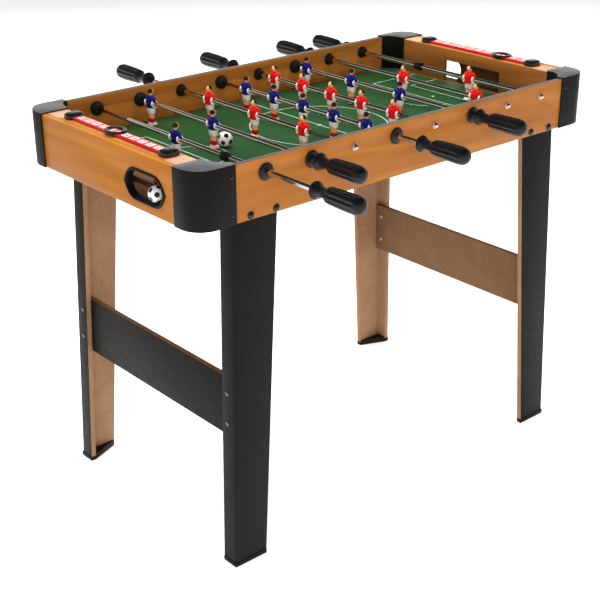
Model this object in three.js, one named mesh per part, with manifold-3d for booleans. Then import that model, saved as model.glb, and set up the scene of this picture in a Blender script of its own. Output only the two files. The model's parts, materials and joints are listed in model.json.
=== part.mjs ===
// Eight-rod foosball table with telescopic rods, folded-board legs and end-rail score counters.
// Millimetres, +Z up. X runs along the pitch, Y runs along the rods, the floor is z = 0.
// The origin is the bottom centre of the whole assembly, handles included.

import * as THREE from 'three';
import { mergeVertices } from 'three/addons/utils/BufferGeometryUtils.js';
import Module from 'manifold-3d';

const wasm = await Module();
wasm.setup();

// ---------------------------------------------------------------- driving dimensions

const CABINET_LENGTH = 815;
const CABINET_WIDTH = 434.5;
const TABLE_HEIGHT = 630;
const CABINET_DEPTH = 82;
const BOARD = 9;
const GAP = 0.3;

// Sides of a small and of a large round section.
const ROUND_SMALL = 10;
const ROUND_LARGE = 12;

const CAP_WALL = 2.5;
const CAP_REACH_X = 68;
const CAP_REACH_Y = 50;
const CAP_RADIUS = 34;
const CAP_TOP = 2.2;
const CAP_SKIRT = 0.5;
const CAP_SOCKET_X = 32;
const CAP_SOCKET_Y = 30;
const FILLER_LIP = 2;
const FILLER_REACH_Y = 35;

const FIELD_Z = 572;
const FIELD_BOARD = 9;
const CHANNEL_Z = 565;
const GOAL_FACE_X = 361;
const GOAL_BOARD = 6;
const GOAL_WIDTH = 128;
const GOAL_HEIGHT = 37;

const ROD_COUNT = 8;
const ROD_PITCH = 82.2;
const ROD_Z = 610.5;
const TUBE_RADIUS = 4;
const TUBE_BORE = 3;
const INNER_ROD_RADIUS = 2.5;
const INNER_ROD_REACH = 170;
const BUMPER_LENGTH = 11;
const BUMPER_RADIUS = 11.5;
const FLANGE_RADIUS = 12.5;
const FLANGE_THICKNESS = 4;
const BARREL_RADIUS = 8;
const NUT_RADIUS = 5.2;
const NUT_RIM = 2.4;
const NUT_HEIGHT = 6;
const HANDLE_COLLAR = 30;
const HANDLE_LENGTH = 93;
const HANDLE_RADIUS = 13;
const TUBE_IN_HANDLE = 60;

const PLAYER_LEG = 36.5;
const PLAYER_TOP = 23;
const HEAD_RADIUS = 5;
const STOP_PLACE = 112;
const STOP_COLLAR = 16;
const STOP_COLLAR_RADIUS = 7;

const LEG_BOARD = 9;
const LEG_TOP_Z = FIELD_Z - FIELD_BOARD - 1;
const LEG_CORNER_X = 338;
const LEG_FACE_TOP = 79;
const LEG_FACE_FOOT = 59;
const LEG_SIDE = 29;
const LEG_SPLAY_X = 21;
const LEG_SPLAY_Y = 12;
const LEG_INSET = 0.9;
const LEG_FOLD = 3;
const LEG_FOLD_MIDDLE = 0.9;
const FOOT_PLATE = 7;
const FOOT_HEIGHT = 11;
const FOOT_LIP = 0.4;

const BRACE_LOW = 209.5;
const BRACE_HIGH = 303;
const BRACE_BOARD = 9;

const PORT_Y = 98;
const PORT_Z = 584;
const PORT_LENGTH = 84;
const PORT_HEIGHT = 39.2;
const PORT_WALL = 2;
const PORT_RIM = 4.2;
const PORT_FLANGE = 2;
const PORT_EAR = 4;
const PORT_EAR_ANGLE = 0.2;

const SCORE_X = 378;
const SCORE_LENGTH = 265;
const SCORE_BAR_WIDTH = 17;
const SCORE_BAR_HEIGHT = 4.5;
const SCORE_BLOCK_LENGTH = 24;
const SCORE_BLOCK_WIDTH = 28;
const SCORE_BLOCK_HEIGHT = 8.5;
const SCORE_BLOCK_BEVEL = 4;
const POINTER_LENGTH = 38;
const POINTER_WIDTH = 31;
const POINTER_RING = 6;
const POINTER_PLATE = 2.4;
const POINTER_SKIRT = 1.8;
const POINTER_Y = { left: 9, right: -53 };

const BALL_RADIUS = 12;
const BALL_X = -396.7;
const BALL_Y = -113.5;

// Each rod: which wall its handle leaves by (-1 front, +1 back), its figures, and how far
// it stands from the middle of its travel.
const RODS = [
  { side: -1, players: 1, offset: -9 },
  { side: -1, players: 2, offset: 92 },
  { side: 1, players: 3, offset: 12 },
  { side: -1, players: 5, offset: -8 },
  { side: 1, players: 5, offset: 17 },
  { side: -1, players: 3, offset: 57 },
  { side: 1, players: 2, offset: -67 },
  { side: 1, players: 1, offset: -61 },
];
const PLAYER_SPACING = { 1: 0, 2: 164, 3: 115, 5: 71.8 };
const TUBE_TAIL = { 1: 123, 2: 16, 3: 16, 5: 16 };
const ROD_TRAVEL = { 1: 67, 2: 96, 3: 63, 5: 34 };
const HANDLE_CLEARANCE = { 1: 19, 2: 6, 3: 2, 5: 3 };

// ---------------------------------------------------------------- derived places

const HALF_X = CABINET_LENGTH / 2;
const HALF_Y = CABINET_WIDTH / 2;
const CABINET_BOTTOM = TABLE_HEIGHT - CABINET_DEPTH;
const SIDE_OUT = HALF_Y - CAP_WALL;
const SIDE_IN = SIDE_OUT - BOARD;
const END_OUT = HALF_X - CAP_WALL;
const END_IN = END_OUT - BOARD;
const GOAL_BACK_X = GOAL_FACE_X + GOAL_BOARD;
const SCORE_BASE = TABLE_HEIGHT + GAP;
const CORNERS = [
  { name: 'front_left', x: -1, y: -1 },
  { name: 'front_right', x: 1, y: -1 },
  { name: 'back_left', x: -1, y: 1 },
  { name: 'back_right', x: 1, y: 1 },
];
const ENDS = [
  { name: 'left', x: -1, port: -1 },
  { name: 'right', x: 1, port: 1 },
];

function rodX(index) {
  return (index - (ROD_COUNT - 1) / 2) * ROD_PITCH;
}

function collarFace(rod) {
  const clearance = HANDLE_CLEARANCE[rod.players];
  return SIDE_OUT + FLANGE_THICKNESS + ROD_TRAVEL[rod.players] + clearance;
}

function tubeTail(rod) {
  const outermost = PLAYER_SPACING[rod.players] * (rod.players - 1) / 2;
  return outermost + TUBE_TAIL[rod.players];
}

// ---------------------------------------------------------------- materials

function material(color, roughness, metalness) {
  return new THREE.MeshStandardMaterial({ color, roughness, metalness });
}

const MATERIALS = {
  woodPanel: () => material(0xcd8741, 0.45, 0),
  woodEnd: () => material(0xc07c36, 0.45, 0),
  goalWood: () => material(0xa9692f, 0.5, 0),
  field: () => material(0x2f5c39, 0.6, 0),
  blackPlastic: () => material(0x242422, 0.4, 0),
  legSkin: () => material(0x262523, 0.55, 0),
  chrome: () => material(0xc9c9c6, 0.18, 1),
  rubber: () => material(0x141414, 0.7, 0),
  scoreRed: () => material(0xc4202c, 0.35, 0),
  ballWhite: () => material(0xeeeeea, 0.35, 0),
};

// ---------------------------------------------------------------- solids

function toSolid(geometry) {
  const bare = geometry.index ? geometry.toNonIndexed() : geometry.clone();
  bare.deleteAttribute('normal');
  bare.deleteAttribute('uv');
  const merged = mergeVertices(bare, 1e-4);
  const index = merged.index.array;
  const triangles = [];
  for (let i = 0; i < index.length; i += 3) {
    const [a, b, c] = [index[i], index[i + 1], index[i + 2]];
    if (a !== b && b !== c && c !== a) {
      triangles.push(a, b, c);
    }
  }
  return new wasm.Manifold(new wasm.Mesh({
    numProp: 3,
    vertProperties: new Float32Array(merged.attributes.position.array),
    triVerts: new Uint32Array(triangles),
  }));
}

function toGeometry(solid) {
  const mesh = solid.getMesh();
  const geometry = new THREE.BufferGeometry();
  geometry.setAttribute('position', new THREE.BufferAttribute(mesh.vertProperties, 3));
  geometry.setIndex(new THREE.BufferAttribute(mesh.triVerts, 1));
  geometry.computeVertexNormals();
  return geometry;
}

function join(...geometries) {
  return toGeometry(geometries.map(toSolid).reduce((whole, piece) => whole.add(piece)));
}

function cut(geometry, ...tools) {
  const removed = tools.map(toSolid).reduce((whole, piece) => whole.add(piece));
  return toGeometry(toSolid(geometry).subtract(removed));
}

// A box given by its lowest and highest corner.
function block(low, high) {
  const size = high.map((value, axis) => value - low[axis]);
  const geometry = new THREE.BoxGeometry(...size);
  geometry.translate(...low.map((value, axis) => (value + high[axis]) / 2));
  return geometry;
}

// A plan outline (x, y) raised from one height to another.
function prism(shape, low, high) {
  const geometry = new THREE.ExtrudeGeometry(shape, {
    depth: high - low,
    bevelEnabled: false,
    curveSegments: 6,
  });
  geometry.translate(0, 0, low);
  return geometry;
}

// A solid of revolution whose axis is Y. Profile points are [radius, y].
function turned(profile, segments) {
  const points = profile.map(([radius, y]) => new THREE.Vector2(radius, y));
  return new THREE.LatheGeometry(points, segments);
}

// A straight pin along Y between two places.
function pin(radius, from, to, segments) {
  return turned([[0, from], [radius, from], [radius, to], [0, to]], segments);
}

// A closed solid between a lower and an upper outline that have the same number of points.
function loft(lower, lowZ, upper, highZ) {
  const count = lower.length;
  const faces = THREE.ShapeUtils.triangulateShape(lower, []);
  const corners = [
    ...lower.map((point) => [point.x, point.y, lowZ]),
    ...upper.map((point) => [point.x, point.y, highZ]),
  ];
  const order = [];
  for (const [a, b, c] of faces) {
    order.push(c, b, a);
    order.push(count + a, count + b, count + c);
  }
  for (let i = 0; i < count; i += 1) {
    const next = (i + 1) % count;
    order.push(i, next, count + next);
    order.push(i, count + next, count + i);
  }
  const geometry = new THREE.BufferGeometry();
  const positions = order.flatMap((corner) => corners[corner]);
  geometry.setAttribute('position', new THREE.Float32BufferAttribute(positions, 3));
  return geometry;
}

// Mirrors a geometry into another quarter of the table and keeps its faces outward.
function mirrored(geometry, signX, signY) {
  const result = geometry.index ? geometry.toNonIndexed() : geometry.clone();
  result.scale(signX, signY, 1);
  if (signX * signY < 0) {
    const position = result.attributes.position;
    for (let i = 0; i < position.count; i += 3) {
      const [bx, by, bz] = [position.getX(i + 1), position.getY(i + 1), position.getZ(i + 1)];
      position.setXYZ(i + 1, position.getX(i + 2), position.getY(i + 2), position.getZ(i + 2));
      position.setXYZ(i + 2, bx, by, bz);
    }
  }
  result.deleteAttribute('normal');
  result.computeVertexNormals();
  return result;
}

// ---------------------------------------------------------------- cabinet

function sidePanel(side) {
  const near = side * SIDE_OUT;
  const far = side * SIDE_IN;
  const reach = HALF_X - CAP_SOCKET_X;
  const board = block(
    [-reach, Math.min(near, far), CABINET_BOTTOM],
    [reach, Math.max(near, far), TABLE_HEIGHT],
  );
  const holes = RODS.map((rod, index) => {
    const radius = rod.side === side ? BARREL_RADIUS + GAP : INNER_ROD_RADIUS + GAP;
    const hole = pin(radius, Math.min(near, far) - 1, Math.max(near, far) + 1, ROUND_LARGE);
    hole.translate(rodX(index), 0, ROD_Z);
    return hole;
  });
  return cut(board, ...holes);
}

// The long outline of a ball port, drawn in the plane (along, up) round its own middle.
function portOutline(length, height, ear) {
  const radius = height / 2;
  const straight = length / 2 - radius;
  const shape = new THREE.Shape();
  shape.moveTo(-straight, -radius);
  shape.lineTo(straight, -radius);
  if (ear > 0) {
    shape.absarc(straight, 0, radius, -Math.PI / 2, -PORT_EAR_ANGLE, false);
    shape.lineTo(straight + radius + ear, 0);
    shape.absarc(straight, 0, radius, PORT_EAR_ANGLE, Math.PI / 2, false);
    shape.lineTo(-straight, radius);
    shape.absarc(-straight, 0, radius, Math.PI / 2, Math.PI - PORT_EAR_ANGLE, false);
    shape.lineTo(-straight - radius - ear, 0);
    shape.absarc(-straight, 0, radius, Math.PI + PORT_EAR_ANGLE, Math.PI * 1.5, false);
  } else {
    shape.absarc(straight, 0, radius, -Math.PI / 2, Math.PI / 2, false);
    shape.lineTo(-straight, radius);
    shape.absarc(-straight, 0, radius, Math.PI / 2, Math.PI * 1.5, false);
  }
  return shape;
}

// A port outline raised along X between two places.
function portSolid(length, height, ear, fromX, toX, end) {
  const shape = portOutline(length, height, ear);
  const geometry = new THREE.ExtrudeGeometry(shape, {
    depth: toX - fromX,
    bevelEnabled: false,
    curveSegments: 4,
  });
  const axes = new THREE.Matrix4().makeBasis(
    new THREE.Vector3(0, 1, 0),
    new THREE.Vector3(0, 0, 1),
    new THREE.Vector3(1, 0, 0),
  );
  geometry.applyMatrix4(axes);
  geometry.translate(fromX, end.port * PORT_Y, PORT_Z);
  return geometry;
}

function endPanel(end) {
  const near = end.x * END_OUT;
  const far = end.x * END_IN;
  const reach = HALF_Y - CAP_SOCKET_Y;
  const low = Math.min(near, far);
  const high = Math.max(near, far);
  const board = block([low, -reach, CABINET_BOTTOM], [high, reach, TABLE_HEIGHT]);
  const grown = 2 * (PORT_WALL + GAP);
  const hole = portSolid(PORT_LENGTH + grown, PORT_HEIGHT + grown, 0, low - 1, high + 1, end);
  return cut(board, hole);
}

// The rimmed liner of the ball port, flange outside and sleeve through the end panel.
function portBezel(end) {
  const inner = END_IN;
  const face = END_OUT + GAP;
  const outer = face + PORT_FLANGE;
  const span = (a, b) => (end.x > 0 ? [a, b] : [-b, -a]);
  const sleeve = portSolid(
    PORT_LENGTH + 2 * PORT_WALL, PORT_HEIGHT + 2 * PORT_WALL, 0, ...span(inner, outer), end,
  );
  const flange = portSolid(
    PORT_LENGTH + 2 * PORT_RIM, PORT_HEIGHT + 2 * PORT_RIM, PORT_EAR, ...span(face, outer), end,
  );
  const mouth = portSolid(PORT_LENGTH, PORT_HEIGHT, 0, ...span(inner - 1, outer + 1), end);
  return cut(join(sleeve, flange), mouth);
}

// Inner end wall with the goal mouth, and the top board that bridges to the end panel.
function goalWall(end) {
  const reach = SIDE_IN - GAP;
  const wall = block([GOAL_FACE_X, -reach, FIELD_Z + GAP], [GOAL_BACK_X, reach, TABLE_HEIGHT]);
  const top = block(
    [GOAL_BACK_X - 1, -reach, TABLE_HEIGHT - GOAL_BOARD],
    [END_IN - GAP, reach, TABLE_HEIGHT],
  );
  const mouth = block(
    [GOAL_FACE_X - 1, -GOAL_WIDTH / 2, FIELD_Z - 1],
    [GOAL_BACK_X + 1, GOAL_WIDTH / 2, FIELD_Z + GOAL_HEIGHT],
  );
  return mirrored(cut(join(wall, top), mouth), end.x, 1);
}

// Pitch board with the lower strip behind each goal that carries the ball to its port.
function playfield() {
  const reach = SIDE_IN - GAP;
  const pitch = block(
    [-GOAL_BACK_X, -reach, FIELD_Z - FIELD_BOARD],
    [GOAL_BACK_X, reach, FIELD_Z],
  );
  const channel = block(
    [GOAL_FACE_X, -reach, CHANNEL_Z - FIELD_BOARD],
    [END_IN - GAP, reach, CHANNEL_Z],
  );
  return join(pitch, channel, mirrored(channel, -1, 1));
}

// Plan outline of a corner cap in the (+X, +Y) quarter.
function capOutline() {
  const shape = new THREE.Shape();
  shape.moveTo(HALF_X - CAP_REACH_X, SIDE_IN - GAP);
  shape.lineTo(HALF_X - CAP_REACH_X, HALF_Y);
  shape.lineTo(HALF_X - CAP_RADIUS, HALF_Y);
  shape.absarc(HALF_X - CAP_RADIUS, HALF_Y - CAP_RADIUS, CAP_RADIUS, Math.PI / 2, 0, true);
  shape.lineTo(HALF_X, HALF_Y - CAP_REACH_Y);
  shape.lineTo(GOAL_FACE_X - GAP, HALF_Y - CAP_REACH_Y);
  shape.lineTo(GOAL_FACE_X - GAP, SIDE_IN - GAP);
  return shape;
}

// Plan outline of the curved filler in the corner of the pitch.
function cornerFiller() {
  const x = GOAL_FACE_X - GAP;
  const y = SIDE_IN - GAP;
  const inner = HALF_X - CAP_REACH_X;
  const reachX = x - inner - FILLER_LIP;
  const start = y - FILLER_LIP;
  const middle = start - FILLER_REACH_Y;
  const shape = new THREE.Shape();
  shape.moveTo(x, y);
  shape.lineTo(inner, y);
  shape.lineTo(inner, start);
  shape.absellipse(inner, middle, reachX, FILLER_REACH_Y, Math.PI / 2, 0, true, 0);
  shape.lineTo(x, middle);
  return shape;
}

// One moulding: rounded outer corner with sockets for the boards, top plate, pitch filler.
function cornerCap(corner) {
  const roof = TABLE_HEIGHT + GAP;
  const floor = CABINET_BOTTOM - CAP_SKIRT;
  const high = roof + CAP_TOP;
  const body = prism(capOutline(), floor, high);
  const sideSocket = block(
    [0, SIDE_IN - GAP, floor - 1],
    [HALF_X - CAP_SOCKET_X + GAP, SIDE_OUT + GAP, roof],
  );
  const endSocket = block(
    [END_IN - GAP, 0, floor - 1],
    [END_OUT + GAP, HALF_Y - CAP_SOCKET_Y + GAP, roof],
  );
  const inside = block([0, 0, floor - 1], [END_IN, SIDE_IN, roof]);
  const shell = cut(body, sideSocket, endSocket, inside);
  const filler = prism(cornerFiller(), FIELD_Z + GAP, high);
  return mirrored(join(shell, filler), corner.x, corner.y);
}

// ---------------------------------------------------------------- legs, feet and braces

// How far a leg has splayed outward at a height, from nothing at its top.
function splay(total, z) {
  return total * (LEG_TOP_Z - z) / LEG_TOP_Z;
}

function legCorner(z) {
  return {
    x: LEG_CORNER_X + splay(LEG_SPLAY_X, z),
    y: SIDE_IN - LEG_INSET + splay(LEG_SPLAY_Y, z),
  };
}

function legFaceWidth(z) {
  return LEG_FACE_FOOT + (LEG_FACE_TOP - LEG_FACE_FOOT) * z / LEG_TOP_Z;
}

// The folded board's L section at a height, in the (+X, +Y) quarter.
function legSection(z) {
  const { x, y } = legCorner(z);
  const inner = x - legFaceWidth(z);
  return [
    new THREE.Vector2(x - LEG_FOLD, y),
    new THREE.Vector2(inner, y),
    new THREE.Vector2(inner, y - LEG_BOARD),
    new THREE.Vector2(x - LEG_BOARD, y - LEG_BOARD),
    new THREE.Vector2(x - LEG_BOARD, y - LEG_SIDE),
    new THREE.Vector2(x, y - LEG_SIDE),
    new THREE.Vector2(x, y - LEG_FOLD),
    new THREE.Vector2(x - LEG_FOLD_MIDDLE, y - LEG_FOLD_MIDDLE),
  ];
}

function leg(corner) {
  const low = FOOT_PLATE + GAP;
  const solid = loft(legSection(low), low, legSection(LEG_TOP_Z), LEG_TOP_Z);
  return mirrored(solid, corner.x, corner.y);
}

// Plastic foot: a three-cornered plate under the leg with a gusset that fills its angle.
function foot(corner) {
  const { x, y } = legCorner(0);
  const reachX = x - legFaceWidth(0) - FOOT_LIP;
  const reachY = y - LEG_SIDE - FOOT_LIP;
  const plate = new THREE.Shape();
  plate.moveTo(x + FOOT_LIP, y + FOOT_LIP);
  plate.lineTo(reachX, y + FOOT_LIP);
  plate.lineTo(reachX, y - LEG_BOARD);
  plate.lineTo(x - LEG_BOARD, reachY);
  plate.lineTo(x + FOOT_LIP, reachY);
  const inside = legCorner(FOOT_HEIGHT);
  const innerX = inside.x - LEG_BOARD - GAP;
  const innerY = inside.y - LEG_BOARD - GAP;
  const gusset = new THREE.Shape();
  gusset.moveTo(innerX, innerY);
  gusset.lineTo(reachX + FOOT_LIP, innerY);
  gusset.lineTo(innerX, reachY + FOOT_LIP);
  const solid = join(prism(plate, 0, FOOT_PLATE), prism(gusset, FOOT_PLATE - 1, FOOT_HEIGHT));
  return mirrored(solid, corner.x, corner.y);
}

// Board that ties the two legs of one end, leaning with their splay.
function brace(end) {
  const reach = legCorner(BRACE_HIGH).y - LEG_BOARD - GAP;
  const section = (z) => {
    const outer = legCorner(z).x - LEG_BOARD - GAP;
    const inner = outer - BRACE_BOARD;
    return [
      new THREE.Vector2(inner, -reach),
      new THREE.Vector2(outer, -reach),
      new THREE.Vector2(outer, reach),
      new THREE.Vector2(inner, reach),
    ];
  };
  const solid = loft(section(BRACE_LOW), BRACE_LOW, section(BRACE_HIGH), BRACE_HIGH);
  return mirrored(solid, end.x, 1);
}

// ---------------------------------------------------------------- rods

// Bush for the sliding tube: outer flange, barrel through the board, inner collar.
function bushing() {
  const bore = TUBE_RADIUS + GAP;
  return turned([
    [bore, -BUMPER_LENGTH + 1],
    [bore, BOARD + FLANGE_THICKNESS],
    [FLANGE_RADIUS - 3, BOARD + FLANGE_THICKNESS],
    [FLANGE_RADIUS, BOARD + FLANGE_THICKNESS - 2],
    [FLANGE_RADIUS, BOARD + GAP],
    [BARREL_RADIUS, BOARD + GAP],
    [BARREL_RADIUS, -GAP],
    [BUMPER_RADIUS - 1, -GAP],
    [BUMPER_RADIUS - 4, -BUMPER_LENGTH + 1],
    [bore, -BUMPER_LENGTH + 1],
  ].reverse(), ROUND_LARGE);
}

// Fixed steel rod inside the tube, with its rubber bumper and domed cap nut.
function innerRod() {
  return turned([
    [0, -SIDE_IN - INNER_ROD_REACH],
    [INNER_ROD_RADIUS, -SIDE_IN - INNER_ROD_REACH],
    [INNER_ROD_RADIUS, -BUMPER_LENGTH],
    [BUMPER_RADIUS - 4, -BUMPER_LENGTH],
    [BUMPER_RADIUS, -3],
    [BUMPER_RADIUS, -GAP],
    [INNER_ROD_RADIUS, -GAP],
    [INNER_ROD_RADIUS, BOARD + GAP],
    [NUT_RADIUS, BOARD + GAP],
    [NUT_RADIUS, BOARD + NUT_RIM],
    [NUT_RADIUS - 1.6, BOARD + NUT_HEIGHT - 1],
    [0, BOARD + NUT_HEIGHT],
  ], ROUND_SMALL);
}

// Table figure facing +X, with its rod hole's middle at the origin and its feet down.
function player() {
  const torso = turned([[0, -12], [6, -12], [10.5, 11], [4, 15], [0, 15]], 6);
  torso.rotateX(Math.PI / 2);
  torso.scale(0.72, 1.05, 1);
  const head = new THREE.SphereGeometry(HEAD_RADIUS, 6, 4);
  head.rotateX(Math.PI / 2);
  head.translate(0.6, 0, PLAYER_TOP - HEAD_RADIUS);
  const legs = block([-3.6, -5.6, -PLAYER_LEG + 3], [3.6, 5.6, -8]);
  const boots = block([-4.6, -7, -PLAYER_LEG], [7.4, 7, -PLAYER_LEG + 7]);
  return join(torso, head, legs, boots);
}

// Sliding tube with its figures, along Y with the handle at the +Y end.
function rodTube(rod) {
  const handleEnd = collarFace(rod) + TUBE_IN_HANDLE;
  const tail = -tubeTail(rod);
  const spacing = PLAYER_SPACING[rod.players];
  const pieces = [pin(TUBE_RADIUS, tail, handleEnd, ROUND_SMALL)];
  for (let i = 0; i < rod.players; i += 1) {
    const figure = player();
    figure.rotateZ(rod.side > 0 ? Math.PI : 0);
    figure.translate(0, (i - (rod.players - 1) / 2) * spacing, 0);
    pieces.push(figure);
  }
  if (rod.players === 1) {
    pieces.push(pin(STOP_COLLAR_RADIUS, STOP_PLACE, STOP_PLACE + STOP_COLLAR, ROUND_SMALL));
  }
  const bore = pin(TUBE_BORE, tail - 1, handleEnd + 1, ROUND_SMALL);
  return cut(join(...pieces), bore);
}

// Grip with a flanged collar at the table side and a blind socket for the tube.
function handle(rod) {
  const start = collarFace(rod);
  const socket = TUBE_RADIUS + GAP;
  const radius = HANDLE_RADIUS;
  return turned([
    [socket, start],
    [radius - 4, start],
    [radius - 1, start + 3],
    [radius - 5.5, start + HANDLE_COLLAR / 2],
    [radius - 6, start + HANDLE_COLLAR - 4],
    [radius - 1.5, start + HANDLE_COLLAR + 4],
    [radius, start + HANDLE_LENGTH - 18],
    [radius - 4.5, start + HANDLE_LENGTH - 3.5],
    [0, start + HANDLE_LENGTH],
    [0, start + TUBE_IN_HANDLE + 2],
    [socket, start + TUBE_IN_HANDLE + 2],
    [socket, start],
  ], ROUND_LARGE);
}

// ---------------------------------------------------------------- score counters

function scoreRail(end) {
  const x = SCORE_X;
  const half = SCORE_LENGTH / 2;
  const bar = block(
    [x - SCORE_BAR_WIDTH / 2, -half + 2, SCORE_BASE],
    [x + SCORE_BAR_WIDTH / 2, half - 2, SCORE_BASE + SCORE_BAR_HEIGHT],
  );
  const blocks = [-1, 1].map((side) => {
    const outline = new THREE.Shape();
    const wide = SCORE_BLOCK_WIDTH / 2;
    outline.moveTo(-wide, 0);
    outline.lineTo(wide, 0);
    outline.lineTo(wide, SCORE_BLOCK_HEIGHT - SCORE_BLOCK_BEVEL);
    outline.lineTo(wide - SCORE_BLOCK_BEVEL, SCORE_BLOCK_HEIGHT);
    outline.lineTo(-wide + SCORE_BLOCK_BEVEL, SCORE_BLOCK_HEIGHT);
    outline.lineTo(-wide, SCORE_BLOCK_HEIGHT - SCORE_BLOCK_BEVEL);
    const geometry = new THREE.ExtrudeGeometry(outline, {
      depth: SCORE_BLOCK_LENGTH,
      bevelEnabled: false,
    });
    geometry.rotateX(Math.PI / 2);
    const start = side > 0 ? half : -half + SCORE_BLOCK_LENGTH;
    geometry.translate(x, start, SCORE_BASE);
    return geometry;
  });
  return mirrored(join(bar, ...blocks), end.x, 1);
}

// Oval window ring that straddles the score bar and slides along it.
function scorePointer(end) {
  const bar = SCORE_BAR_WIDTH / 2 + GAP;
  const top = SCORE_BASE + SCORE_BAR_HEIGHT + GAP;
  const ring = new THREE.Shape();
  ring.absellipse(0, 0, POINTER_WIDTH / 2, POINTER_LENGTH / 2, 0, Math.PI * 2, false, 0);
  const plate = new THREE.ExtrudeGeometry(ring, {
    depth: POINTER_PLATE,
    bevelEnabled: false,
    curveSegments: 10,
  });
  plate.translate(0, 0, top);
  const skirts = [-1, 1].map((side) => block(
    [side > 0 ? bar : -bar - POINTER_SKIRT, -POINTER_LENGTH / 4, SCORE_BASE + 1],
    [side > 0 ? bar + POINTER_SKIRT : -bar, POINTER_LENGTH / 4, top + 1],
  ));
  const [openX, openY] = [POINTER_WIDTH / 2 - POINTER_RING, POINTER_LENGTH / 2 - POINTER_RING];
  const opening = new THREE.Shape();
  opening.absellipse(0, 0, openX, openY, 0, Math.PI * 2, false, 0);
  const window = prism(opening, top - 1, top + POINTER_PLATE + 1);
  const solid = cut(join(plate, ...skirts), window);
  solid.translate(end.x * SCORE_X, POINTER_Y[end.name], 0);
  return solid;
}

// ---------------------------------------------------------------- assembly

const table = new THREE.Group();

function place(name, geometry, finish) {
  const mesh = new THREE.Mesh(geometry, finish);
  mesh.name = name;
  table.add(mesh);
  return mesh;
}

place('side_panel_front', sidePanel(-1), MATERIALS.woodPanel());
place('side_panel_back', sidePanel(1), MATERIALS.woodPanel());
place('playfield', playfield(), MATERIALS.field());

for (const end of ENDS) {
  place(`end_panel_${end.name}`, endPanel(end), MATERIALS.woodEnd());
  place(`goal_wall_${end.name}`, goalWall(end), MATERIALS.goalWood());
  place(`ball_port_${end.name}`, portBezel(end), MATERIALS.blackPlastic());
  place(`score_rail_${end.name}`, scoreRail(end), MATERIALS.scoreRed());
  place(`score_pointer_${end.name}`, scorePointer(end), MATERIALS.blackPlastic());
  place(`leg_brace_${end.name}`, brace(end), MATERIALS.legSkin());
}

for (const corner of CORNERS) {
  place(`corner_cap_${corner.name}`, cornerCap(corner), MATERIALS.blackPlastic());
  place(`leg_${corner.name}`, leg(corner), MATERIALS.legSkin());
  place(`foot_${corner.name}`, foot(corner), MATERIALS.blackPlastic());
}

RODS.forEach((rod, index) => {
  const number = index + 1;
  const turn = rod.side > 0 ? 0 : Math.PI;
  const x = rodX(index);
  const tube = place(`rod_${number}_tube`, rodTube(rod), MATERIALS.chrome());
  tube.rotation.z = turn;
  tube.position.set(x, rod.offset, ROD_Z);
  const grip = place(`rod_${number}_handle`, handle(rod), MATERIALS.blackPlastic());
  grip.rotation.z = turn;
  grip.position.set(x, rod.offset, ROD_Z);
  const bush = place(`rod_${number}_bushing`, bushing(), MATERIALS.rubber());
  bush.rotation.z = turn;
  bush.position.set(x, rod.side * SIDE_IN, ROD_Z);
  const core = place(`rod_${number}_inner`, innerRod(), MATERIALS.chrome());
  core.rotation.z = turn + Math.PI;
  core.position.set(x, -rod.side * SIDE_IN, ROD_Z);
});

const ball = place('ball', new THREE.SphereGeometry(BALL_RADIUS, 10, 8), MATERIALS.ballWhite());
ball.position.set(BALL_X, BALL_Y, CHANNEL_Z + BALL_RADIUS + GAP);

// The handles reach unequally far from the two walls, so the cabinet stands off the origin.
const frontReach = Math.min(...RODS.filter((rod) => rod.side < 0)
  .map((rod) => -collarFace(rod) - HANDLE_LENGTH + rod.offset));
const backReach = Math.max(...RODS.filter((rod) => rod.side > 0)
  .map((rod) => collarFace(rod) + HANDLE_LENGTH + rod.offset));
table.position.y = -(frontReach + backReach) / 2;

export default table;
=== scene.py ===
import json
import math

import bmesh
import bpy
from mathutils import Euler, Matrix, Vector

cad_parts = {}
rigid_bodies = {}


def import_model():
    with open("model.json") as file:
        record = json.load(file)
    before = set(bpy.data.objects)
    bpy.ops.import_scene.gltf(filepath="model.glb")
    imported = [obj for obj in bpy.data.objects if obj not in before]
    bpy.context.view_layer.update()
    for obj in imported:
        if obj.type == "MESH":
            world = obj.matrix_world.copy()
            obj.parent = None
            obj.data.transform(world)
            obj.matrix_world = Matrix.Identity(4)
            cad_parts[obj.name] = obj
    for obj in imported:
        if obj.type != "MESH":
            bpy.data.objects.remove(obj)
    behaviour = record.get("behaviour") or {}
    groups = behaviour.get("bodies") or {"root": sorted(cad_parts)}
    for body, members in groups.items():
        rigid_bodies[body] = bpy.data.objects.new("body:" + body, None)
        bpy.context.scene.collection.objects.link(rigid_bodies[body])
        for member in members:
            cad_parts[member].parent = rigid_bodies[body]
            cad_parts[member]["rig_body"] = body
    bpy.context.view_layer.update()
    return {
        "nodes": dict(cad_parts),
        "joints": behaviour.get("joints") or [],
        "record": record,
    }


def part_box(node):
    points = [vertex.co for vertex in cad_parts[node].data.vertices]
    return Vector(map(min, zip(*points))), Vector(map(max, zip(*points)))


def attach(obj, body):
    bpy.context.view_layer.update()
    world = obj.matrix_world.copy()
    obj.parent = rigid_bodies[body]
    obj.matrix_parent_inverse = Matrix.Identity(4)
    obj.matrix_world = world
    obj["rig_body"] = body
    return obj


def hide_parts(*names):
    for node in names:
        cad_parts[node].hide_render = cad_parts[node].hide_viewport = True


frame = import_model()

MM = 0.001
TABLE = "table"
ROD_COUNT = 8
PLAYERS = (1, 2, 3, 5, 5, 3, 2, 1)
SPACING = {1: 0.0, 2: 164.0, 3: 115.0, 5: 71.8}
CORNERS = {
    "front_left": (-1, -1),
    "front_right": (1, -1),
    "back_left": (-1, 1),
    "back_right": (1, 1),
}
ENDS = {"left": -1, "right": 1}

RECORD = frame["record"]
JOINTS = {joint["name"]: joint for joint in frame["joints"]}


def box_mm(node):
    low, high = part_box(node)
    return low / MM, high / MM


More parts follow.
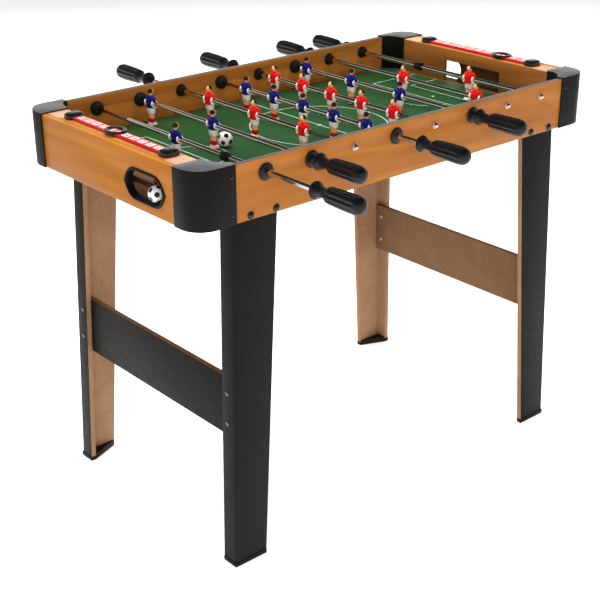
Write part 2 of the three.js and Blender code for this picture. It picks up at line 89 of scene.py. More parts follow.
FIELD_LOW, FIELD_HIGH = box_mm("playfield")
MIDDLE_Y = (FIELD_LOW.y + FIELD_HIGH.y) / 2
FIELD_Z = FIELD_HIGH.z


# ---- node materials


def tint(red, green, blue):
    """Linear colour of an sRGB colour given as 0-255."""
    out = []
    for value in (red, green, blue):
        share = value / 255
        out.append(share / 12.92 if share <= 0.04045 else ((share + 0.055) / 1.055) ** 2.4)
    return (*out, 1.0)


class Finish:
    """A node material with its own small helpers.

    A colour is a socket or an sRGB triple of 0-255.
    """

    def __init__(self, name, metallic=0.0, coat=0.0, coat_roughness=0.1, specular=0.5):
        self.material = bpy.data.materials.new(name)
        self.material.use_nodes = True
        self.nodes = self.material.node_tree.nodes
        self.links = self.material.node_tree.links
        self.shader = self.nodes["Principled BSDF"]
        for socket, value in (
            ("Metallic", metallic),
            ("Specular IOR Level", specular),
            ("Coat Weight", coat),
            ("Coat Roughness", coat_roughness),
        ):
            self.shader.inputs[socket].default_value = value
        self.coordinates = self.nodes.new("ShaderNodeTexCoord")

    def link(self, source, target):
        self.links.new(source, target)

    def add(self, kind, constants, source=None, socket="Vector"):
        """A node with constants, fed by a source or else by the object's coordinates."""
        node = self.nodes.new(kind)
        for name, value in constants.items():
            node.inputs[name].default_value = value
        self.link(source or self.coordinates.outputs["Object"], node.inputs[socket])
        return node

    def mapped(self, scale=(1, 1, 1), location=(0, 0, 0)):
        constants = {"Scale": scale, "Location": location}
        return self.add("ShaderNodeMapping", constants).outputs["Vector"]

    def noise(self, scale, detail=4.0, roughness=0.55, distortion=0.0, vector=None):
        constants = {
            "Scale": scale, "Detail": detail, "Roughness": roughness, "Distortion": distortion
        }
        return self.add("ShaderNodeTexNoise", constants, vector).outputs["Fac"]

    def voronoi(self, scale, feature="F1"):
        node = self.add("ShaderNodeTexVoronoi", {"Scale": scale})
        node.feature = feature
        return node.outputs["Distance"]

    def wave(self, scale, distortion, detail, vector, direction):
        constants = {
            "Scale": scale, "Distortion": distortion, "Detail": detail, "Detail Scale": 1.4
        }
        node = self.add("ShaderNodeTexWave", constants, vector)
        node.bands_direction = direction
        return node.outputs["Fac"]

    def ramp(self, source, *stops):
        node = self.nodes.new("ShaderNodeValToRGB")
        ramp = node.color_ramp
        while len(ramp.elements) < len(stops):
            ramp.elements.new(0.5)
        for element, (place, colour) in zip(ramp.elements, stops):
            element.position = place
            element.color = tint(*colour)
        self.link(source, node.inputs["Fac"])
        return node.outputs["Color"]

    def span(self, source, low, high, from_low=0.3, from_high=0.7):
        constants = {"From Min": from_low, "From Max": from_high, "To Min": low, "To Max": high}
        return self.add("ShaderNodeMapRange", constants, source, "Value").outputs["Result"]

    def mix(self, share, first, second):
        """Mixes two colours by the value of the share socket."""
        node = self.nodes.new("ShaderNodeMix")
        node.data_type = "RGBA"
        self.link(share, node.inputs[0])
        for colour, socket in ((first, node.inputs[6]), (second, node.inputs[7])):
            if isinstance(colour, bpy.types.NodeSocket):
                self.link(colour, socket)
            else:
                socket.default_value = tint(*colour)
        return node.outputs[2]

    def edges(self):
        """1 on convex edges that handling has rubbed, 0 elsewhere."""
        geometry = self.nodes.new("ShaderNodeNewGeometry")
        return self.span(geometry.outputs["Pointiness"], 0.0, 1.0, 0.52, 0.6)

    def bump(self, *layers):
        """Each layer is (height socket, depth in millimetres)."""
        normal = None
        for height, depth in layers:
            constants = {"Strength": 1.0, "Distance": depth * MM}
            node = self.add("ShaderNodeBump", constants, height, "Height")
            if normal is not None:
                self.link(normal, node.inputs["Normal"])
            normal = node.outputs["Normal"]
        self.link(normal, self.shader.inputs["Normal"])

    def colour(self, source):
        self.link(source, self.shader.inputs["Base Color"])

    def roughness(self, source):
        self.link(source, self.shader.inputs["Roughness"])


def wood_colour(finish, dark, middle, light, along, seed):
    """Printed wood grain that runs along one axis: its colour, streaks and pores."""
    stretch = [26.0, 26.0, 26.0]
    stretch[along] = 1.6
    broad = finish.mapped(stretch, (seed, seed * 1.7, seed * 0.6))
    fine_scale = [value * 12 for value in stretch]
    fine_scale[along] = 9.0
    fine = finish.mapped(fine_scale)
    flame_scale = [7.0, 7.0, 7.0]
    flame_scale[along] = 0.55
    flame = finish.mapped(flame_scale, (seed * 0.3, seed, seed * 2.1))
    streaks = finish.noise(1.0, 6, 0.62, 0.5, broad)
    figure = finish.noise(2.4, 3, 0.5, 1.2, flame)
    rings = finish.wave(3.4, 5.0, 3.0, flame, "DIAGONAL")
    pores = finish.noise(1.0, 3, 0.6, 0.0, fine)
    base = finish.ramp(streaks, (0.25, dark), (0.5, middle), (0.75, light))
    flamed = finish.mix(finish.span(rings, 0.0, 0.30, 0.35, 0.95), base, dark)
    warm = finish.mix(finish.span(figure, 0.0, 0.35), flamed, light)
    pore_dark = finish.span(pores, 0.0, 0.34, 0.56, 0.76)
    return finish.mix(pore_dark, warm, dark), streaks, pores


def wood(name, dark, middle, light, along, seed):
    """Printed wood-grain foil."""
    finish = Finish(name, coat=0.03, coat_roughness=0.3, specular=0.15)
    colour, streaks, pores = wood_colour(finish, dark, middle, light, along, seed)
    finish.colour(colour)
    finish.roughness(finish.span(streaks, 0.36, 0.52))
    finish.bump((pores, 0.06), (streaks, 0.05))
    return finish.material


def rail_top(name, dark, middle, light, bare, reach):
    """Wood-grain foil that stops at a distance from the table's middle and leaves pale board."""
    finish = Finish(name, coat=0.08, coat_roughness=0.25, specular=0.3)
    colour, streaks, pores = wood_colour(finish, dark, middle, light, 1, 4.4)
    split = finish.nodes.new("ShaderNodeSeparateXYZ")
    finish.link(finish.mapped(location=(0, -MIDDLE_Y * MM, 0)), split.inputs["Vector"])
    distance = finish.nodes.new("ShaderNodeMath")
    distance.operation = "ABSOLUTE"
    finish.link(split.outputs["Y"], distance.inputs[0])
    outside = finish.span(distance.outputs["Value"], 0.0, 1.0, reach * MM, (reach + 2) * MM)
    finish.colour(finish.mix(outside, colour, bare))
    finish.roughness(finish.span(streaks, 0.4, 0.56))
    finish.bump((pores, 0.06), (streaks, 0.05))
    return finish.material


def moulded(name, base, worn, rough_low, rough_high, grain=900.0, depth=0.05, specular=0.25):
    """Injection-moulded plastic with a fine texture and rubbed edges."""
    finish = Finish(name, specular=specular)
    cloud = finish.noise(45.0, 5, 0.6)
    texture = finish.noise(grain, 2, 0.5)
    body = finish.mix(finish.span(cloud, 0.0, 0.5), base, worn)
    finish.colour(finish.mix(finish.span(finish.edges(), 0.0, 0.5, 0.0, 1.0), body, worn))
    finish.roughness(finish.span(cloud, rough_low, rough_high))
    finish.bump((texture, depth), (cloud, depth * 2))
    return finish.material


def painted(name, base, shade, rough=0.35, coat=0.3, specular=0.25):
    """Brushed-on or printed enamel over moulded plastic."""
    finish = Finish(name, coat=coat, coat_roughness=0.2, specular=specular)
    cloud = finish.noise(260.0, 4, 0.6)
    brush = finish.noise(1400.0, 2, 0.5)
    finish.colour(finish.mix(finish.span(cloud, 0.0, 0.8), base, shade))
    finish.roughness(finish.span(brush, rough - 0.07, rough + 0.1))
    finish.bump((brush, 0.03), (cloud, 0.06))
    return finish.material


def polished(name, base, dull, rough_low, rough_high):
    """Drawn metal: faint lines run along its Y axis."""
    finish = Finish(name, metallic=1.0)
    lines = finish.noise(1.0, 2, 0.5, 0.0, finish.mapped((2600.0, 40.0, 2600.0)))
    cloud = finish.noise(38.0, 4, 0.6)
    finish.colour(finish.mix(finish.span(cloud, 0.0, 0.6), base, dull))
    finish.roughness(finish.span(lines, rough_low, rough_high))
    finish.bump((lines, 0.006), (cloud, 0.01))
    return finish.material


def leather_film(name, base, worn):
    """Black foil with a pressed leather grain."""
    finish = Finish(name, specular=0.09)
    cells = finish.voronoi(420.0, feature="DISTANCE_TO_EDGE")
    wrinkle = finish.noise(160.0, 5, 0.6)
    cloud = finish.noise(12.0, 5, 0.6)
    body = finish.mix(finish.span(cloud, 0.0, 0.6), base, worn)
    finish.colour(finish.mix(finish.span(finish.edges(), 0.0, 0.5, 0.0, 1.0), body, worn))
    finish.roughness(finish.span(wrinkle, 0.42, 0.6))
    finish.bump((finish.span(cells, 0.0, 1.0, 0.0, 0.25), 0.08), (wrinkle, 0.12))
    return finish.material


def fibreboard(name, base, fleck, pale):
    """Raw pressed board: short dark and pale fibres."""
    finish = Finish(name, specular=0.2)
    fibre = finish.noise(750.0, 4, 0.7, 0.6)
    fleck_cells = finish.voronoi(900.0)
    cloud = finish.noise(18.0, 5, 0.6)
    body = finish.ramp(fibre, (0.3, fleck), (0.52, base), (0.75, pale))
    flecked = finish.mix(finish.span(fleck_cells, 0.45, 0.0, 0.05, 0.2), body, fleck)
    finish.colour(finish.mix(finish.span(cloud, 0.0, 0.4), flecked, pale))
    finish.roughness(finish.span(fibre, 0.75, 0.92))
    finish.bump((fibre, 0.12), (cloud, 0.1))
    return finish.material


def pitch_print(name, base, deep, pale):
    """Printed pitch: faint mottling under a thin varnish."""
    finish = Finish(name, specular=0.16)
    cloud = finish.noise(7.0, 5, 0.6)
    weave = finish.noise(900.0, 3, 0.6)
    scuff = finish.noise(1.0, 4, 0.7, 0.3, finish.mapped((60.0, 14.0, 20.0)))
    body = finish.mix(finish.span(cloud, 0.0, 0.9), base, deep)
    finish.colour(finish.mix(finish.span(scuff, 0.0, 0.2, 0.55, 0.8), body, pale))
    finish.roughness(finish.span(scuff, 0.42, 0.58))
    finish.bump((weave, 0.02), (scuff, 0.02))
    return finish.material


WOOD_SIDE = wood("wood_side", (140, 78, 22), (172, 103, 36), (194, 124, 54), 0, 3.1)
WOOD_END = wood("wood_end", (142, 80, 14), (172, 102, 22), (190, 120, 34), 1, 7.7)
# Goal walls: the wood foil painted darker than the panels' foil, as painted shade on these inner
# walls.
SHADED_WOOD_GOAL = wood("wood_goal_painted_shade", (112, 64, 24), (144, 88, 36), (168, 108, 50), 1, 5.2)
RAIL_TOP = rail_top(
    "rail_top", (140, 78, 26), (170, 104, 44), (190, 124, 60), (188, 146, 116), 134.0
)
EDGE_GREY = moulded("edge_band_grey", (70, 66, 62), (92, 87, 82), 0.4, 0.55)
BLACK = moulded("black_plastic", (11, 11, 10), (22, 21, 20), 0.4, 0.55, 1300.0, 0.05, 0.11)
# Corner-cap tops: the black plastic painted mid grey and made glossier, a painted highlight for the
# glare on the caps' upward faces.
BLACK_PAINTED_GLARE_TOP = moulded("black_plastic_painted_glare_top", (62, 63, 64), (86, 87, 88), 0.28, 0.42, 1300.0, 0.04, 0.6)
BLACK_GLOSS = moulded("black_gloss", (16, 16, 17), (30, 30, 31), 0.1, 0.2, 1500.0, 0.01, 0.5)
GRIP = moulded("grip_plastic", (12, 12, 13), (22, 22, 23), 0.28, 0.42, 1600.0, 0.02, 0.3)
RUBBER = moulded("rubber", (18, 18, 18), (34, 34, 33), 0.45, 0.65, 900.0, 0.05, 0.2)
FILM = leather_film("leather_film", (20, 20, 18), (30, 29, 27))
MDF = fibreboard("fibreboard", (150, 112, 82), (104, 74, 50), (186, 148, 112))
# The same raw board painted darker, as painted shade in the ball channel and on undersides.
SHADED_INSIDE_MDF = fibreboard("inside_fibreboard_painted_shade", (98, 66, 40), (70, 46, 28), (122, 88, 58))
# The same raw board painted darker and greyer for the braces, as painted shade.
SHADED_BRACE_MDF = fibreboard("brace_fibreboard_painted_shade", (118, 86, 58), (82, 58, 38), (146, 112, 82))
PITCH = pitch_print("pitch_green", (32, 72, 38), (25, 61, 31), (50, 90, 56))
LINE = painted("pitch_lines", (205, 222, 205), (180, 204, 184), 0.45, 0.0)
CHROME = polished("chrome", (222, 214, 202), (200, 190, 178), 0.06, 0.15)
STEEL = polished("inner_steel", (150, 132, 112), (116, 100, 84), 0.2, 0.34)
NUT = polished("nut_chrome", (206, 204, 198), (170, 168, 162), 0.08, 0.18)
SCREW = polished("screw_steel", (140, 138, 134), (96, 94, 90), 0.25, 0.4)
PALE_SCREW = polished("pale_screw_steel", (206, 202, 196), (170, 166, 160), 0.25, 0.4)
BLACK_SCREW = moulded("black_screw", (16, 16, 16), (40, 40, 38), 0.16, 0.3, 1200.0, 0.02, 0.45)
SCORE_RED = moulded("score_red", (188, 20, 32), (206, 36, 46), 0.22, 0.36, 1200.0, 0.02, 0.35)
TILE = painted("score_tile", (236, 198, 196), (228, 176, 176), 0.35, 0.1)
DIGIT = painted("score_digit", (150, 20, 30), (120, 16, 24), 0.4, 0.0)
BALL_WHITE = painted("ball_white", (240, 240, 238), (226, 226, 224), 0.25, 0.3)
BALL_BLACK = painted("ball_black", (18, 18, 18), (28, 28, 28), 0.3, 0.2)
BLUE = painted("jersey_blue", (20, 22, 118), (14, 14, 90), 0.35, 0.1)
RED = painted("jersey_red", (230, 14, 16), (204, 10, 14), 0.35, 0.1)
WHITE = painted("kit_white", (252, 247, 240), (236, 229, 221), 0.4, 0.1)
SKIN = painted("figure_skin", (255, 184, 129), (244, 160, 101), 0.4, 0.1)
HAIR = painted("figure_hair", (44, 26, 18), (28, 18, 14), 0.35, 0.1)
SOCK = painted("figure_sock", (200, 18, 22), (170, 12, 16), 0.4, 0.1)
BOOT = painted("figure_boot", (244, 220, 206), (228, 196, 180), 0.4, 0.1)


# ---- meshes


# Edges sharper than these, in degrees, are shaded as creases or get a bevel.
SMOOTH_ANGLE = 35.0
BEVEL_ANGLE = 30.0
# Points nearer together than this, in metres, are one point.
MERGE_REACH = 1e-6


def soften(points, reach, steps=3):
    """Rounds the inner corners of an open line of points of any dimension."""
    out = [tuple(points[0])]
    for before, corner, after in zip(points, points[1:], points[2:]):
        a, p, b = Vector(before), Vector(corner), Vector(after)
        near = min(reach, (a - p).length * 0.48, (b - p).length * 0.48)
        first = p + (a - p).normalized() * near
        last = p + (b - p).normalized() * near
        for step in range(steps + 1):
            t = step / steps
            out.append(tuple(first * (1 - t) ** 2 + p * 2 * t * (1 - t) + last * t ** 2))
    out.append(tuple(points[-1]))
    return out


def circle(radius, count):
    """Points (x, y) round the origin."""
    angles = (2 * math.pi * i / count for i in range(count))
    return [(radius * math.cos(angle), radius * math.sin(angle)) for angle in angles]


class Shape:
    """Collects faces in millimetres, each with a material index."""

    def __init__(self):
        self.verts = []
        self.faces = []
        self.slots = []

    def add(self, verts, faces, slot=0):
        base = len(self.verts)
        self.verts.extend(tuple(v) for v in verts)
        self.faces.extend(tuple(base + i for i in face) for face in faces)
        self.slots.extend([slot] * len(faces))

    def rings(self, rings, slot=0, caps=True):
        """Skins a run of rings that all have the same number of points."""
        count = len(rings[0])
        last = (len(rings) - 1) * count
        faces = []
        for low in range(0, last, count):
            for i in range(count):
                j = (i + 1) % count
                faces.append((low + i, low + j, low + count + j, low + count + i))
        if caps:
            faces.append(tuple(reversed(range(count))))
            faces.append(tuple(range(last, last + count)))
        self.add([point for ring in rings for point in ring], faces, slot)

    def lathe(self, profile, segments=48, slot=0, closed=False, wobble=None):
        """Turns (radius, along) points round the Y axis."""
        rings = []
        for radius, along in profile:
            ring = []
            for i in range(segments):
                angle = 2 * math.pi * i / segments
                r = radius if wobble is None else radius + wobble(angle, along)
                ring.append((r * math.sin(angle), along, r * math.cos(angle)))
            rings.append(ring)
        if closed:
            rings.append(rings[0])
        self.rings(rings, slot, caps=not closed)

    def merge(self, other, matrix, slot):
        self.add([matrix @ Vector(v) for v in other.verts], other.faces, slot)

    def mesh(self, name, materials, smooth=SMOOTH_ANGLE, bevel=0.0, segments=2):
        mesh = bpy.data.meshes.new(name)
        bm = bmesh.new()
        verts = [bm.verts.new(Vector(v) * MM) for v in self.verts]
        for face, slot in zip(self.faces, self.slots):
            try:
                made = bm.faces.new([verts[i] for i in face])
            except ValueError:
                continue
            made.material_index = slot
        return finish_mesh(bm, mesh, materials, smooth, bevel, segments)


def finish_mesh(bm, mesh, materials, smooth, bevel, segments):
    bmesh.ops.remove_doubles(bm, verts=bm.verts, dist=MERGE_REACH)
    bmesh.ops.dissolve_degenerate(bm, dist=1e-7, edges=bm.edges)
    bmesh.ops.recalc_face_normals(bm, faces=bm.faces)
    if bevel:
        limit = math.radians(BEVEL_ANGLE)
        sharp = [e for e in bm.edges if len(e.link_faces) == 2 and e.calc_face_angle() > limit]
        bmesh.ops.bevel(
            bm, geom=sharp, offset=bevel * MM, segments=segments, profile=0.5,
            affect="EDGES", clamp_overlap=True, material=-1,
        )
    bm.to_mesh(mesh)
    bm.free()
    for material in materials:
        mesh.materials.append(material)
    mesh.shade_smooth()
    mesh.set_sharp_from_angle(angle=math.radians(smooth))
    return mesh


def new_object(name, data):
    made = bpy.data.objects.new(name, data)
    bpy.context.scene.collection.objects.link(made)
    return made


def put(name, mesh, body, matrix=None, replaces=(), slot=None):
    piece = new_object(name, mesh)
    if matrix is not None:
        piece.matrix_world = matrix
    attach(piece, body)
    if replaces:
        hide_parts(*replaces)


def at(x, y, z):
    return Matrix.Translation(Vector((x, y, z)) * MM)


def slot_of(node):
    return next(part["material_slot"] for part in RECORD["subparts"] if part["node"] == node)


def fine(node, mesh, matrix=None):
    """Puts a mesh in a CAD node's place and on the node's body, and hides the node."""
    body = frame["nodes"][node]["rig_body"]
    put(node + "_fine", mesh, body, matrix, (node,), slot_of(node))


def refine(node, materials, bevel, segments=2, pick=None, splits=()):
    """The CAD node's own solid with rounded edges and a material for each kind of face.

    Each split is an X place, in millimetres, where faces are divided so that they can differ.
    """
    bm = bmesh.new()
    bm.from_mesh(frame["nodes"][node].data)
    bmesh.ops.remove_doubles(bm, verts=bm.verts, dist=MERGE_REACH)
    flat = math.radians(1.0)
    bmesh.ops.dissolve_limit(bm, angle_limit=flat, verts=bm.verts, edges=bm.edges)
    for place in splits:
        bmesh.ops.bisect_plane(
            bm,
            geom=bm.verts[:] + bm.edges[:] + bm.faces[:],
            plane_co=(place * MM, 0, 0),
            plane_no=(1, 0, 0),
        )
    for face in bm.faces:
        if pick is not None:
            face.material_index = pick(face.normal, face.calc_center_median() / MM)
        else:
            face.material_index = 0
    mesh = bpy.data.meshes.new(node + "_fine")
    fine(node, finish_mesh(bm, mesh, materials, SMOOTH_ANGLE, bevel, segments))


def superellipse(width, depth, power, count=32, x=0.0, groove=0.0):
    """Ring points round the Z axis: half width along Y, half depth along X."""
    out = []
    for c, s in circle(1.0, count):
        px = depth * math.copysign(abs(c) ** (2 / power), c)
        py = width * math.copysign(abs(s) ** (2 / power), s)
        pinch = groove * math.exp(-((py / (width * 0.28)) ** 2))
        out.append((x + px * (1 - pinch), py))
    return out


def stack(shape, stations, slot, count=32):
    """Skins (z, half width, half depth, power, x offset, groove) stations."""
    rings = []
    for z, width, depth, power, x, groove in stations:
        outline = superellipse(width, depth, power, count, x, groove)
        rings.append([(px, py, z) for px, py in outline])
    shape.rings(rings, slot)


# ---- cabinet

# How much of a face's normal has to lie along an axis for the face to look that way.
FACING = 0.5
LEVEL = 0.7
LEG_FACING = 0.3
# A level face above this height is the top of a rail or of a corner cap.
TOP_Z = 625.0
# The green print ends here and bare board goes on.
PRINT_END_X = 354.0


def band_faces(normal, centre):
    return 1 if abs(normal.z) > LEVEL else 0


def top_faces(normal, centre):
    return 1 if normal.z > LEVEL and centre.z > TOP_Z else 0


def print_faces(normal, centre):
    printed = normal.z > FACING and centre.z > FIELD_Z - 1 and abs(centre.x) < PRINT_END_X
    return 0 if printed else 1


def raw_faces(sign):
    """Inner face and underside of an end panel."""
    return lambda normal, centre: 1 if normal.x * sign < -FACING or normal.z < -FACING else 0


def goal_faces(sign):
    """Rail top, then the face towards the ball channel and the underside."""
    def pick(normal, centre):
        if top_faces(normal, centre):
            return 1
        return 2 if normal.x * sign > FACING or normal.z < -FACING else 0

    return pick


for side in ("front", "back"):
    refine(f"side_panel_{side}", [WOOD_SIDE, EDGE_GREY], 0.6, pick=band_faces)
# End panels' inner faces and undersides, and the goal walls' channel faces and undersides, take the
# darker painted-shade board.
for end, sign in ENDS.items():
    refine(f"end_panel_{end}", [WOOD_END, SHADED_INSIDE_MDF], 0.6, pick=raw_faces(sign))
    # Goal walls take the darker painted-shade wood.
    refine(f"goal_wall_{end}", [SHADED_WOOD_GOAL, RAIL_TOP, SHADED_INSIDE_MDF], 0.6, pick=goal_faces(sign))
# The playfield's unprinted faces take the darker painted-shade board.
refine(
    "playfield", [PITCH, SHADED_INSIDE_MDF], 0.4, pick=print_faces, splits=(-PRINT_END_X, PRINT_END_X)
)
for corner in CORNERS:
    # The caps' upward faces take the grey painted highlight.
    refine(f"corner_cap_{corner}", [BLACK, BLACK_PAINTED_GLARE_TOP], 0.9, 3, pick=top_faces)


# ---- pitch markings

LINE_WIDTH = 1.3
LINE_LOW = 0.02
LINE_THICK = 0.12
BOX_X = 246.0
BOX_Y = 131.0
AREA_X = 288.0
AREA_Y = 77.0
ARC_RADIUS = 49.0
CIRCLE_RADIUS = 112.0
GOAL_LINE_X = 353.5
TOUCH_Y = 202.5
PENALTY_REACH = 18


def ribbon(shape, points, closed=False):
    """A flat printed line along points in the pitch plane."""
    count = len(points)
    lefts, rights = [], []
    for i, point in enumerate(points):
        before = points[(i - 1) % count] if closed or i else point
        after = points[(i + 1) % count] if closed or i < count - 1 else point
        here = Vector(point)
        a = (here - Vector(before)).normalized() if before != point else None
        b = (Vector(after) - here).normalized() if after != point else None
        heading = (a or b) + (b or a)
        heading.normalize()
        side = Vector((-heading.y, heading.x))
        lean = side.dot(Vector((-(b or a).y, (b or a).x)))
        reach = LINE_WIDTH / 2 / max(lean, 0.5)
        lefts.append(here + side * reach)
        rights.append(here - side * reach)
    verts = []
    for z in (LINE_LOW, LINE_THICK):
        verts.extend((p.x, p.y, z) for p in lefts)
        verts.extend((p.x, p.y, z) for p in rights)
    faces = []
    for i in range(count if closed else count - 1):
        j = (i + 1) % count
        low_l, low_r, top_l, top_r = 0, count, 2 * count, 3 * count
        faces.append((top_l + i, top_r + i, top_r + j, top_l + j))
        faces.append((low_l + i, low_l + j, low_r + j, low_r + i))
        faces.append((low_l + i, top_l + i, top_l + j, low_l + j))
        faces.append((low_r + i, low_r + j, top_r + j, top_r + i))
    if not closed:
        faces.append((0, count, 3 * count, 2 * count))
        last = count - 1
        faces.append((last, 2 * count + last, 3 * count + last, count + last))
    shape.add(verts, faces)


def arc(centre, radius, start, stop, steps):
    angles = (start + (stop - start) * i / steps for i in range(steps + 1))
    return [(centre[0] + radius * math.cos(a), centre[1] + radius * math.sin(a)) for a in angles]


def spot(shape, x, y, radius):
    ring = arc((x, y), radius, 0, 2 * math.pi, 20)[:-1]
    shape.rings([[(px, py, z) for px, py in ring] for z in (LINE_LOW, LINE_THICK)])


lines = Shape()
ribbon(lines, arc((0, 0), CIRCLE_RADIUS, 0, 2 * math.pi, 96)[:-1], closed=True)
ribbon(lines, [(0, -TOUCH_Y), (0, TOUCH_Y)])
spot(lines, 0, 0, 3.5)
for sign in (-1, 1):
    edge = sign * GOAL_LINE_X
    for reach_x, reach_y in ((BOX_X, BOX_Y), (AREA_X, AREA_Y)):
        front = sign * reach_x
        ribbon(lines, [(edge, reach_y), (front, reach_y), (front, -reach_y), (edge, -reach_y)])
    middle = 0 if sign < 0 else math.pi
    bow = arc((sign * BOX_X, 0), ARC_RADIUS, middle - math.pi / 2, middle + math.pi / 2, 32)
    ribbon(lines, bow)
    spot(lines, sign * (BOX_X + PENALTY_REACH), 0, 2.5)
LINES_MESH = lines.mesh("pitch_lines", [LINE])
put("pitch_lines", LINES_MESH, TABLE, at(0, MIDDLE_Y, FIELD_Z), slot="field")


# ---- screws and bolts


def pan_head(radius, height, recess, width, materials, name):
    """Domed screw head with a cross recess, standing on z = 0 and facing +Z."""
    segments = 48
    steps = 14
    rings = [[(x, y, 0) for x, y in circle(radius, segments)]]
    for step in range(steps + 1):
        share = 1 - step / steps
        r = radius * (0.06 + 0.94 * share)
        top = height * (0.35 + 0.65 * math.sqrt(max(0.0, 1 - (r / radius) ** 2)))
        ring = []
        for x, y in circle(r, segments):
            in_cross = min(abs(x), abs(y)) < width and r < recess
            ring.append((x, y, top - (height * 0.5 if in_cross else 0)))
        rings.append(ring)
    shape = Shape()
    shape.rings(rings)
    return shape.mesh(name, materials, 40)


def dome_head(radius, height, materials, name):
    """Smooth dome on a thin flange, facing +Z."""
    profile = [(radius, 0), (radius, 0.7), (radius * 0.86, 1.0)]
    steps = 9
    for step in range(1, steps):
        angle = math.pi / 2 * step / steps
        profile.append((radius * 0.82 * math.cos(angle), 1.0 + (height - 1.0) * math.sin(angle)))
    profile.append((0.05, height))
    shape = Shape()
    shape.lathe(profile, 40)
    mesh = shape.mesh(name, materials, 40)
    mesh.transform(Matrix.Rotation(math.radians(90), 4, "X"))
    return mesh


def facing(direction, x, y, z):
    """Matrix that stands a +Z-facing piece on a surface at a place."""
    turn = Vector((0, 0, 1)).rotation_difference(Vector(direction).normalized())
    return at(x, y, z) @ turn.to_matrix().to_4x4()


CAP_SCREW = pan_head(2.4, 1.5, 1.5, 0.35, [BLACK_SCREW], "cap_screw")
LEG_SCREW = pan_head(3.4, 1.8, 2.2, 0.5, [SCREW], "leg_screw")
BRACE_SCREW = pan_head(4.2, 1.8, 2.5, 0.6, [PALE_SCREW], "brace_screw")
LEG_BOLT = dome_head(5.9, 4.4, [BLACK_SCREW], "leg_bolt")

CAP_SCREW_Z = (615.0, 562.0)
CAP_SCREW_INSET = 8.0
LEG_BOLT_X = (269.8, 314.6)
LEG_BOLT_Z = 554.4
LEG_SCREW_Z = (284.0, 236.0)
BRACE_SCREW_Z = (281.0, 233.0)
LEG_SCREW_INSET = 17.0
BRACE_SCREW_INSET = 14.0
# The same as LEG_CORNER_X, LEG_SPLAY_Y, LEG_BOARD, BRACE_BOARD and GAP in part.mjs.
LEG_TOP_X = 338.0
LEG_SPLAY_Y = 12.0
LEG_BOARD = 9.0
BRACE_BOARD = 9.0
BRACE_GAP = 0.3

for corner, (sx, sy) in CORNERS.items():
    low, high = box_mm(f"corner_cap_{corner}")
    inner_x = low.x if sx > 0 else high.x
    face_y = low.y if sy < 0 else high.y
    for number, z in enumerate(CAP_SCREW_Z):
        place = facing((0, sy, 0), inner_x + sx * CAP_SCREW_INSET, face_y, z)
        put(f"cap_screw_{corner}_{number + 1}", CAP_SCREW, TABLE, place, slot="black_plastic")
    panel = "front" if sy < 0 else "back"
    low, high = box_mm(f"side_panel_{panel}")
    face_y = low.y if sy < 0 else high.y
    for number, x in enumerate(LEG_BOLT_X):
        place = facing((0, sy, 0), sx * x, face_y, LEG_BOLT_Z)
        put(f"leg_bolt_{corner}_{number + 1}", LEG_BOLT, TABLE, place, slot="black_plastic")


# ---- legs, feet and braces


def film_faces(sx, sy):
    """Outer faces keep the film, the others are raw board."""
    return lambda normal, centre: (
        0 if normal.x * sx > LEG_FACING or normal.y * sy > LEG_FACING else 1
    )


for corner, (sx, sy) in CORNERS.items():
    refine(f"leg_{corner}", [FILM, MDF], 0.7, pick=film_faces(sx, sy))
    refine(f"foot_{corner}", [BLACK], 0.8, 3)

for end, sign in ENDS.items():
    # Brace faces other than the outer one take the darker painted-shade board.
    refine(
        f"leg_brace_{end}",
        [FILM, SHADED_BRACE_MDF],
        0.6,
        pick=lambda normal, centre, sign=sign: 0 if normal.x * sign > FACING else 1,
    )


def leg_place(corner, z):
    """Outer corner of a leg at a height."""
    sx, sy = CORNERS[corner]
    low, high = box_mm(f"leg_{corner}")
    foot_x = low.x if sx < 0 else high.x
    foot_y = low.y if sy < 0 else high.y
    rise = z / high.z
    return foot_x + (LEG_TOP_X * sx - foot_x) * rise, foot_y - sy * LEG_SPLAY_Y * rise


for corner, (sx, sy) in CORNERS.items():
    for number, z in enumerate(LEG_SCREW_Z):
        x, y = leg_place(corner, z)
        place = facing((sx, 0, 0), x, y - sy * LEG_SCREW_INSET, z)
        put(f"leg_screw_{corner}_{number + 1}", LEG_SCREW, TABLE, place, slot="steel_rod")
    for number, z in enumerate(BRACE_SCREW_Z):
        x, y = leg_place(corner, z)
        inner_x = x - sx * (LEG_BOARD + BRACE_GAP + BRACE_BOARD)
        place = facing((-sx, 0, 0), inner_x, y - sy * (LEG_BOARD + BRACE_SCREW_INSET), z)
        put(f"brace_screw_{corner}_{number + 1}", BRACE_SCREW, TABLE, place, slot="steel_rod")


# ---- ball ports

PORT_HALF = 42.0
PORT_RADIUS = 19.6
PORT_EAR = 4.0
EAR_SPREAD = 0.22


def stadium(length, radius, ear=0.0, steps=12):
    """Points (along, up) of a long round-ended outline with a small point at each end."""
    straight = length - radius
    out = []
    for side in (1, -1):
        for i in range(steps + 1):
            angle = -math.pi / 2 + math.pi * i / steps
            reach = radius + ear * math.exp(-((angle / EAR_SPREAD) ** 2))
            along = straight + reach * math.cos(angle)
            out.append((side * along, side * radius * math.sin(angle)))
    return out


